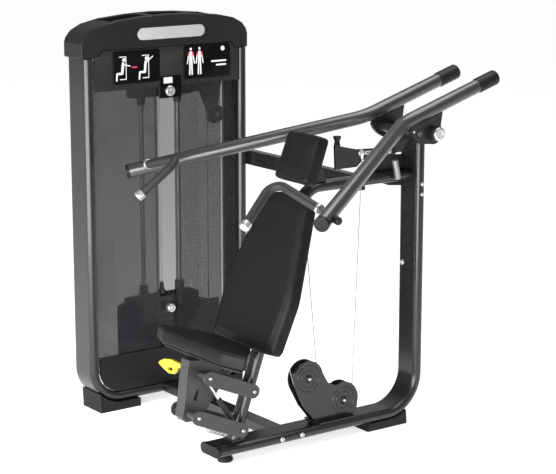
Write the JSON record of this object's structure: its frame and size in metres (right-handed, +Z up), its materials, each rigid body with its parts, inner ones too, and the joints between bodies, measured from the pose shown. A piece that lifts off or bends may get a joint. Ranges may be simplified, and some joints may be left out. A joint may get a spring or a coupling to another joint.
{
  "type": "shoulder press machine",
  "caption": "Selectorised shoulder press: shrouded weight tower, bent oval-tube frame, adjustable seat, reclined back rest and a pair of pivoting press arms with angled grips.",
  "frame": {"origin": "on the floor under the front foot, in the middle plane of the seat and press arms", "axes": "+Z up, the user faces -Y, the weight tower stands on -X"},
  "size_m": [1.5698, 1.4174, 1.6],
  "materials": {
    "graphite_paint": "satin",
    "black_plastic": "satin",
    "black_rubber": "matte",
    "silver_trim": "satin",
    "smoked_sheet": "smooth",
    "chrome": "polished",
    "black_steel": "satin",
    "link_paint": "satin",
    "pulley_plastic": "satin",
    "black_vinyl": "matte",
    "arm_paint": "satin metallic",
    "grip_foam": "matte",
    "yellow_plastic": "satin",
    "cable_jacket": "smooth"
  },
  "bodies": {
    "frame": {"back_pad": "black_vinyl", "backrest_upright": "graphite_paint", "badge": "silver_trim", "base_cover": "black_plastic", "beam_end_cap": "black_plastic", "cable_arm": "cable_jacket", "cable_front": "cable_jacket", "cable_stack": "cable_jacket", "cable_tower": "cable_jacket", "floor_pulley_bracket": "black_steel", "front_foot": "black_rubber", "front_shroud_left": "smoked_sheet", "front_shroud_right": "smoked_sheet", "guide_rod_left": "chrome", "guide_rod_right": "chrome", "head_bracket": "black_steel", "head_pad": "black_vinyl", "header_panel": "black_plastic", "lower_cross_tube": "graphite_paint", "main_frame_tube": "graphite_paint", "pivot_housing": "black_steel", "placard_left": "black_plastic", "placard_right": "black_plastic", "post_gusset": "black_steel", "rear_foot": "black_rubber", "rear_shroud": "smoked_sheet", "rod_top_bracket": "black_steel", "seat_bumper": "silver_trim", "stack_base": "black_steel", "stack_plates": "black_steel", "stop_post": "chrome", "tower_cap": "black_plastic", "tower_foot_left": "black_rubber", "tower_foot_right": "black_rubber", "tower_frame": "graphite_paint", "upper_cross_tube": "graphite_paint"},
    "press_arms": {"arm_tube_left": "arm_paint", "arm_tube_right": "arm_paint", "arm_sleeve_left": "black_plastic", "arm_sleeve_right": "black_plastic", "arm_bracket_left": "black_steel", "arm_bracket_right": "black_steel", "handle_grip_left": "grip_foam", "handle_grip_right": "grip_foam", "pivot_shaft": "black_steel", "arm_cross_bar": "graphite_paint", "arm_lever": "black_steel"},
    "lifted_stack": {"stack_lifted": "black_steel", "selector_stem": "black_plastic"},
    "selector_pin": {"selector_pin": "silver_trim"},
    "seat_upper_links": {"seat_link_upper": "link_paint"},
    "seat_lower_links": {"seat_link_lower": "link_paint"},
    "seat": {"seat_carriage": "link_paint", "seat_cushion": "black_vinyl"},
    "seat_lever": {"seat_lever": "yellow_plastic"},
    "strut_barrel": {"strut_barrel": "black_steel"},
    "strut_rod": {"strut_rod": "chrome"},
    "tower_pulley": {"tower_pulley": "pulley_plastic"},
    "front_pulley": {"front_pulley": "pulley_plastic"},
    "rear_pulley": {"rear_pulley": "pulley_plastic"}
  },
  "joints": [
    {"name": "press_arms_lift", "type": "hinge", "parent": "frame", "child": "press_arms", "pos_m": [0, 0.898, 1.175], "axis": [-1, 0, 0], "range_deg": [0, 45], "deforming": ["cable_arm"]},
    {"name": "stack_lift", "type": "slide", "parent": "frame", "child": "lifted_stack", "axis": [0, 0, 1], "range_m": [0, 0.32], "deforming": ["cable_stack"]},
    {"name": "selector_pin_pull", "type": "slide", "parent": "lifted_stack", "child": "selector_pin", "axis": [1, 0, 0], "range_m": [0, 0.04]},
    {"name": "seat_upper_links", "type": "hinge", "parent": "frame", "child": "seat_upper_links", "pos_m": [0, 0.08, 0.274], "axis": [1, 0, 0], "range_deg": [-15, 20]},
    {"name": "seat_lower_links", "type": "hinge", "parent": "frame", "child": "seat_lower_links", "pos_m": [0, 0.029, 0.132], "axis": [1, 0, 0], "range_deg": [-15, 20]},
    {"name": "seat_level", "type": "hinge", "parent": "seat_upper_links", "child": "seat", "pos_m": [0, -0.114, 0.358], "axis": [1, 0, 0], "range_deg": [-20, 15]},
    {"name": "strut_tilt", "type": "hinge", "parent": "frame", "child": "strut_barrel", "pos_m": [0, 0.029, 0.132], "axis": [1, 0, 0], "range_deg": [-12, 15]},
    {"name": "strut_stroke", "type": "slide", "parent": "strut_barrel", "child": "strut_rod", "axis": [0, -0.5347, 0.845], "range_m": [-0.05, 0.04]},
    {"name": "seat_lever_lift", "type": "hinge", "parent": "seat", "child": "seat_lever", "pos_m": [-0.049, -0.155, 0.384], "axis": [0, 1, 0], "range_deg": [0, 15], "stiffness_Nm_per_rad": 2, "springref_deg": -5.73},
    {"name": "tower_pulley_spin", "type": "hinge", "parent": "frame", "child": "tower_pulley", "pos_m": [-0.854, 0.542, 1.165], "axis": [1, 0, 0], "range_deg": [-10, 450]},
    {"name": "front_pulley_spin", "type": "hinge", "parent": "frame", "child": "front_pulley", "pos_m": [0, 0.375, 0.258], "axis": [1, 0, 0], "range_deg": [-10, 250]},
    {"name": "rear_pulley_spin", "type": "hinge", "parent": "frame", "child": "rear_pulley", "pos_m": [0, 0.545, 0.143], "axis": [1, 0, 0], "range_deg": [-10, 250]}
  ],
  "couplings": [
    {"joint": "stack_lift", "follows": "press_arms_lift", "m_per_rad": 0.38},
    {"joint": "tower_pulley_spin", "follows": "press_arms_lift", "ratio": 9.5},
    {"joint": "front_pulley_spin", "follows": "press_arms_lift", "ratio": 5.2},
    {"joint": "rear_pulley_spin", "follows": "press_arms_lift", "ratio": 5.2},
    {"joint": "seat_lower_links", "follows": "seat_upper_links", "ratio": 1},
    {"joint": "seat_level", "follows": "seat_upper_links", "ratio": -1},
    {"joint": "strut_tilt", "follows": "seat_upper_links", "ratio": 0.65},
    {"joint": "strut_stroke", "follows": "seat_upper_links", "m_per_rad": -0.119}
  ]
}
